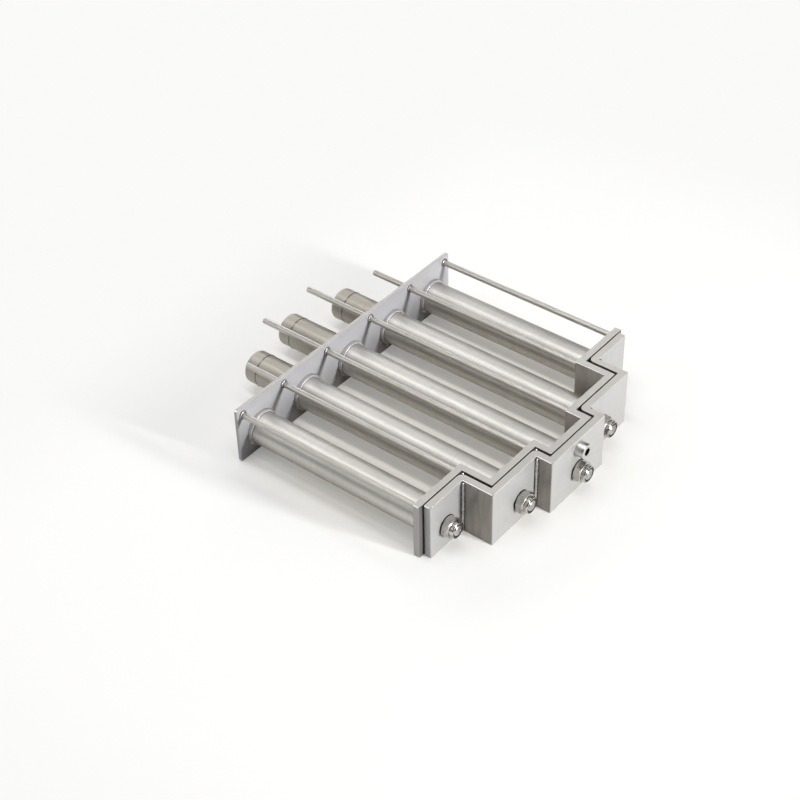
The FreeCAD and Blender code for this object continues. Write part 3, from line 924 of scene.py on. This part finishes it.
class MakeLockScrew(bpy.types.Operator):
    """Models the socket head cap screw with its hexagon socket and thread"""

    bl_idname = "hopper_magnet.make_lock_screw"
    bl_label = "Make lock screw"

    def execute(self, context):
        sizes = context.scene.hopper_screw
        finish = context.scene.hopper_fasteners
        low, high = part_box("cap_screw")
        centre_y = (low.y + high.y) / 2
        centre_z = (low.z + high.z) / 2
        head_radius = (high.y - low.y) / 2
        thread_radius = 3.0 * MM
        seat = high.x - sizes.head_height
        head = self.head(sizes, head_radius, seat, high.x)
        shank = self.shank(sizes, low.x, seat, thread_radius)
        screw = join([head, shank], "threaded_lock_screw")
        screw.location = (0.0, centre_y, centre_z)
        take(screw)
        bpy.ops.object.transform_apply(location=True, rotation=True, scale=True)
        metal = steel_material(
            "screw_bright_steel", finish.screw_colour, (0.52, 0.50, 0.47), finish.roughness + 0.12,
            grain=(300.0, 1500.0, 1500.0), line_amount=0.2, patch_amount=0.2, patch_scale=200.0,
        )
        # Painted shade for the walls and floor of the hexagon socket
        dark = steel_material(
            "socket_painted_shade", (0.13, 0.125, 0.12), (0.05, 0.05, 0.05), 0.35,
            grain=(300.0, 1500.0, 1500.0), line_amount=0.3, patch_amount=0.3, patch_scale=300.0,
        )
        coat(screw, metal, dark)
        self.paint_socket_shade(screw, sizes, high.x, centre_y, centre_z)
        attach(screw, "magnet_pack")
        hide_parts("cap_screw")
        return {"FINISHED"}

    def paint_socket_shade(self, screw, sizes, top, centre_y, centre_z):
        """Gives the walls and the floor of the socket the second material, painted shade for the recess."""
        reach = 0.98 * sizes.socket_flats / math.sqrt(3)
        just_in = 0.01 * MM
        just_past_floor = 1.01 * sizes.socket_depth

        def inside(face):
            away = math.hypot(face.center.y - centre_y, face.center.z - centre_z)
            depth = top - face.center.x
            return away < reach and just_in < depth < just_past_floor

        take(screw)
        bpy.ops.object.mode_set(mode="EDIT")
        select_faces(screw, inside)
        screw.active_material_index = 1
        bpy.ops.object.material_slot_assign()
        bpy.ops.object.mode_set(mode="OBJECT")

    def head(self, sizes, radius, seat, top):
        """Round head with a chamfered rim and a hexagon socket, on the X axis."""
        deselect_all()
        bpy.ops.mesh.primitive_cylinder_add(
            vertices=72, radius=radius, depth=top - seat, end_fill_type="NGON",
            location=((seat + top) / 2, 0.0, 0.0), rotation=(0.0, math.radians(90.0), 0.0),
        )
        head = named("lock_screw_head")
        bpy.ops.object.mode_set(mode="EDIT")
        select_faces(head, lambda face: face.normal.x > 0.9)
        bpy.ops.mesh.region_to_loop()
        bpy.ops.mesh.bevel(offset=sizes.head_break, segments=2, affect="EDGES")
        bpy.ops.object.mode_set(mode="OBJECT")
        deselect_all()
        bpy.ops.mesh.primitive_cylinder_add(
            vertices=6, radius=sizes.socket_flats / math.sqrt(3), depth=2 * sizes.socket_depth,
            location=(top, 0.0, 0.0), rotation=(0.0, math.radians(90.0), 0.0),
        )
        cutter = named("socket_cutter")
        apply_modifier(head, "BOOLEAN", object=cutter, operation="DIFFERENCE", solver="EXACT")
        remove(cutter)
        closed_and_smooth(head, 32.0)
        return head

    def shank(self, sizes, tip, seat, radius):
        """Plain core with one ridge wound round it, on the X axis."""
        core_radius = radius - sizes.thread_depth
        into_head = 0.2 * MM
        deselect_all()
        bpy.ops.mesh.primitive_cylinder_add(
            vertices=48, radius=core_radius, depth=seat - tip + into_head, end_fill_type="NGON",
            location=((seat + into_head + tip) / 2, 0.0, 0.0), rotation=(0.0, math.radians(90.0), 0.0),
        )
        core = named("lock_screw_core")
        closed_and_smooth(core, 32.0)
        turns = (seat - tip) / sizes.thread_pitch - 1.0
        half = 0.44 * sizes.thread_pitch
        triangle_height = 1.5 * half
        sunk_in_core = 0.05 * MM
        below_outline = 0.02 * MM
        base = core_radius - sunk_in_core
        height = radius - below_outline - base
        full_width = 1.0 / math.cos(math.radians(30.0))  # widens the triangle's foot to twice half
        deselect_all()
        bpy.ops.mesh.primitive_circle_add(
            vertices=3, radius=half, fill_type="NGON", rotation=(math.radians(90.0), 0.0, 0.0),
        )
        ridge = named("lock_screw_ridge")
        bpy.ops.object.mode_set(mode="EDIT")
        bpy.ops.mesh.select_all(action="SELECT")
        bpy.ops.transform.resize(
            value=(full_width, 1.0, height / triangle_height), center_override=(0.0, 0.0, 0.0),
        )
        behind_tip = 0.1 * MM
        start = tip + 0.5 * sizes.thread_pitch + behind_tip
        bpy.ops.transform.translate(value=(start, 0.0, base + height / 3))
        bpy.ops.object.mode_set(mode="OBJECT")
        steps = 36
        self.wind(ridge, int(turns * steps), 2 * math.pi / steps, sizes.thread_pitch / steps)
        closed_and_smooth(ridge, 40.0)
        return join([core, ridge], "lock_screw_shank")

    def wind(self, ridge, steps, turn, advance):
        """Extrudes the ridge's end face a step at a time round the axis."""
        bpy.ops.object.mode_set(mode="EDIT")
        bpy.ops.mesh.select_mode(type="FACE")
        bpy.ops.mesh.select_all(action="SELECT")
        for _ in range(steps):
            bpy.ops.mesh.extrude_region_move(TRANSFORM_OT_translate={"value": (advance, 0.0, 0.0)})
            bpy.ops.transform.rotate(value=-turn, orient_axis="X", center_override=(0.0, 0.0, 0.0))
        bpy.ops.object.mode_set(mode="OBJECT")


class SetStage(bpy.types.Operator):
    """Sets out the floor, the soft lamps, the surroundings and the camera"""

    bl_idname = "hopper_magnet.set_stage"
    bl_label = "Set stage"

    def execute(self, context):
        stage = context.scene.hopper_stage
        self.lay_floor(stage)
        self.hang_lamps(stage)
        self.light_surroundings(context, stage)
        self.stand_camera(context, stage)
        context.scene.view_settings.view_transform = "Standard"
        return {"FINISHED"}

    def lay_floor(self, stage):
        below_object = 0.02 * MM
        deselect_all()
        bpy.ops.mesh.primitive_plane_add(size=stage.floor_size, location=(0.0, 0.0, -below_object))
        floor = named("studio_paper")
        coat(floor, self.paper(stage))

    def paper(self, stage):
        """Matt paper that turns into an evenly lit backdrop away from the object; near it, a painted warm
        bounce lies under the object and a glow that only the camera sees lifts the shadows.
        """
        material = bpy.data.materials.new("paper_white")
        material.use_nodes = True
        tree = material.node_tree
        shader = tree.nodes["Principled BSDF"]
        shader.inputs["Roughness"].default_value = 0.9
        shader.inputs["Specular IOR Level"].default_value = 0.1
        coordinates = tree.nodes.new("ShaderNodeTexCoord")
        place = add_node(tree, "ShaderNodeSeparateXYZ", Vector=coordinates.outputs["Object"])
        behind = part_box("rear_plate")[0].x - stage.shadow_reach
        backwards = soft_step(tree, place.outputs["X"], behind, behind - stage.shadow_fade)
        radius = add_node(tree, "ShaderNodeVectorMath", Vector=coordinates.outputs["Object"])
        radius.operation = "LENGTH"
        outwards = soft_step(tree, radius.outputs["Value"], stage.shade_radius, stage.even_radius)
        # Painted bounce light: warm paper under the object, blending out into the paper round it
        under = soft_step(tree, radius.outputs["Value"], stage.painted_bounce_edge_radius, stage.painted_bounce_radius)
        colour = mixed(tree, under, opaque(stage.floor_colour), opaque(stage.painted_bounce_colour))
        wire(tree, colour, shader.inputs["Base Color"])
        rays = tree.nodes.new("ShaderNodeLightPath")
        far = math_node(tree, "MAXIMUM", backwards, outwards)
        seen = math_node(tree, "MAXIMUM", rays.outputs["Is Camera Ray"], rays.outputs["Is Glossy Ray"])
        seen = math_node(tree, "MAXIMUM", seen, rays.outputs["Is Transmission Ray"])
        far = math_node(tree, "MULTIPLY", far, seen)
        # Painted light: a glow that only the camera sees lifts every shadow on the paper
        lift = math_node(tree, "MULTIPLY", rays.outputs["Is Camera Ray"], stage.painted_shadow_lift)
        far = math_node(tree, "MAXIMUM", far, lift)
        glow = add_node(tree, "ShaderNodeEmission", Color=opaque(stage.backdrop_colour))
        blend = tree.nodes.new("ShaderNodeMixShader")
        wire(tree, far, blend.inputs[0])
        wire(tree, shader.outputs["BSDF"], blend.inputs[1])
        wire(tree, glow.outputs["Emission"], blend.inputs[2])
        wire(tree, blend.outputs["Shader"], tree.nodes["Material Output"].inputs["Surface"])
        return material

    def hang_lamps(self, stage):
        for lamp in stage.lamps:
            deselect_all()
            bpy.ops.object.light_add(type="AREA", location=lamp.place)
            light = bpy.context.active_object
            light.name = lamp.name
            light.data.shape = "RECTANGLE"
            light.data.size = lamp.size[0]
            light.data.size_y = lamp.size[1]
            light.data.energy = lamp.power
            light.data.color = lamp.colour
            direction = Vector(lamp.aim) - Vector(lamp.place)
            roll = Quaternion((0.0, 0.0, 1.0), lamp.roll)
            light.rotation_euler = (direction.to_track_quat("-Z", "Y") @ roll).to_euler()

    def light_surroundings(self, context, stage):
        """Faint light from all round, which the camera sees as the backdrop."""
        world = bpy.data.worlds.new("studio_surroundings")
        context.scene.world = world
        world.use_nodes = True
        tree = world.node_tree
        background = tree.nodes["Background"]
        background.inputs["Color"].default_value = opaque(stage.world_colour)
        background.inputs["Strength"].default_value = stage.world_strength
        backdrop = add_node(
            tree, "ShaderNodeBackground", Color=opaque(stage.backdrop_colour), Strength=1.0,
        )
        rays = tree.nodes.new("ShaderNodeLightPath")
        blend = tree.nodes.new("ShaderNodeMixShader")
        wire(tree, rays.outputs["Is Camera Ray"], blend.inputs[0])
        wire(tree, background.outputs["Background"], blend.inputs[1])
        wire(tree, backdrop.outputs["Background"], blend.inputs[2])
        wire(tree, blend.outputs["Shader"], tree.nodes["World Output"].inputs["Surface"])

    def stand_camera(self, context, stage):
        azimuth, elevation, roll = stage.camera_turn
        turn = (
            Matrix.Rotation(azimuth, 4, "Z")
            @ Matrix.Rotation(math.pi / 2 - elevation, 4, "X")
            @ Matrix.Rotation(roll, 4, "Z")
        )
        deselect_all()
        bpy.ops.object.camera_add(location=stage.camera_place, rotation=turn.to_euler())
        camera = bpy.context.active_object
        camera.name = "photo_camera"
        camera.data.lens = stage.lens
        camera.data.sensor_width = 36.0
        camera.data.clip_start = 0.01
        context.scene.camera = camera


def list_settings(column, title, settings, group):
    """Shows the settings of one group in a box; the lamps get boxes of their own."""
    box = column.box()
    box.label(text=title)
    for name in group.__annotations__:
        if name != "lamps":
            box.prop(settings, name)


class HopperMagnetPanel(bpy.types.Panel):
    """Buttons and settings for the hopper magnet in the 3D view's sidebar"""

    bl_idname = "VIEW3D_PT_hopper_magnet"
    bl_label = "Hopper Magnet"
    bl_space_type = "VIEW_3D"
    bl_region_type = "UI"
    bl_category = "Hopper Magnet"

    def draw(self, context):
        column = self.layout.column()
        for operator in OPERATORS:
            column.operator(operator.bl_idname)
        for name, (group, title) in SETTINGS.items():
            list_settings(column, title, getattr(context.scene, name), group)
        for lamp in context.scene.hopper_stage.lamps:
            list_settings(column, lamp.name, lamp, LampSetting)


OPERATORS = (FinishPlates, FinishBars, FinishFasteners, LayWeldBeads, LayTailSeams, MakeLockScrew, SetStage)
SETTINGS = {
    "hopper_plates": (PlateFinish, "Plates"),
    "hopper_bars": (BarFinish, "Bars"),
    "hopper_fasteners": (FastenerFinish, "Fasteners"),
    "hopper_welds": (WeldSettings, "Welds"),
    "hopper_screw": (ScrewSettings, "Screw"),
    "hopper_stage": (StageSettings, "Stage"),
}


def register():
    bpy.utils.register_class(LampSetting)
    for name, (group, _) in SETTINGS.items():
        bpy.utils.register_class(group)
        setattr(bpy.types.Scene, name, PointerProperty(type=group))
    for operator in OPERATORS:
        bpy.utils.register_class(operator)
    bpy.utils.register_class(HopperMagnetPanel)


def unregister():
    bpy.utils.unregister_class(HopperMagnetPanel)
    for operator in reversed(OPERATORS):
        bpy.utils.unregister_class(operator)
    for name, (group, _) in reversed(SETTINGS.items()):
        delattr(bpy.types.Scene, name)
        bpy.utils.unregister_class(group)
    bpy.utils.unregister_class(LampSetting)


def fill_lamps(stage):
    stage.lamps.clear()
    for name, place, aim, size, roll, power in LAMPS:
        lamp = stage.lamps.add()
        lamp.name = name
        lamp.place = place
        lamp.aim = aim
        lamp.size = size
        lamp.roll = math.radians(roll)
        lamp.power = power


def main():
    register()
    fill_lamps(bpy.context.scene.hopper_stage)
    bpy.ops.hopper_magnet.finish_plates()
    bpy.ops.hopper_magnet.finish_bars()
    bpy.ops.hopper_magnet.finish_fasteners()
    bpy.ops.hopper_magnet.lay_weld_beads()
    bpy.ops.hopper_magnet.lay_tail_seams()
    bpy.ops.hopper_magnet.make_lock_screw()
    bpy.ops.hopper_magnet.set_stage()


if __name__ == "__main__":
    main()
